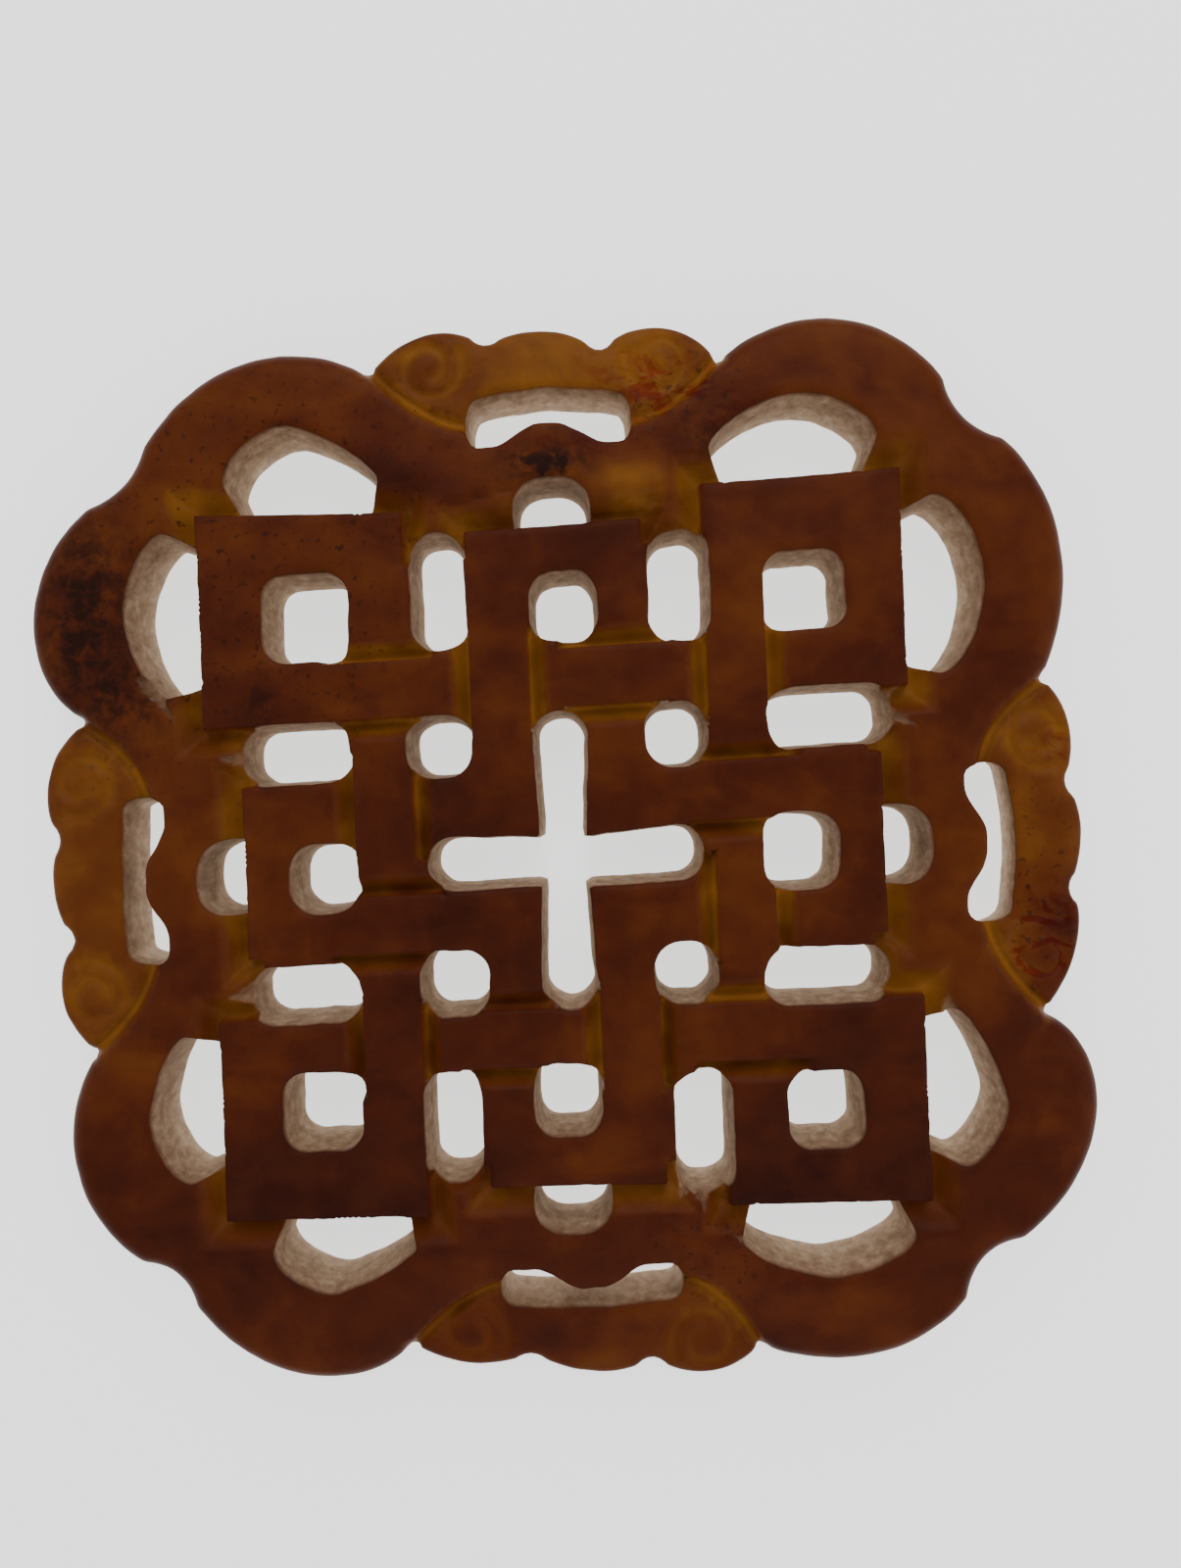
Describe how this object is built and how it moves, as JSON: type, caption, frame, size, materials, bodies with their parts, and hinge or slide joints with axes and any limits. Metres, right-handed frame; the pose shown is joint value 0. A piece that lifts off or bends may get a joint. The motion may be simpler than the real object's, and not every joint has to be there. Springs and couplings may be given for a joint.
{
  "type": "jade amulet",
  "caption": "Openwork carved jade plaque: a woven strap lattice inside a lobed frame with small clouds on each side, worn on a cord.",
  "frame": {"origin": "centre of the bounding box at the plain back face, which lies on the ground", "axes": "+Z out of the carved face, through the plaque's thickness; +Y up the plaque as it is pictured; +X to its right"},
  "size_m": [0.0604, 0.0608, 0.005],
  "materials": {
    "brown_jade": "soft polish on the carved face, matte sawn walls inside the openings"
  },
  "bodies": {
    "root": {"jade_plaque": "brown_jade"}
  },
  "joints": []
}
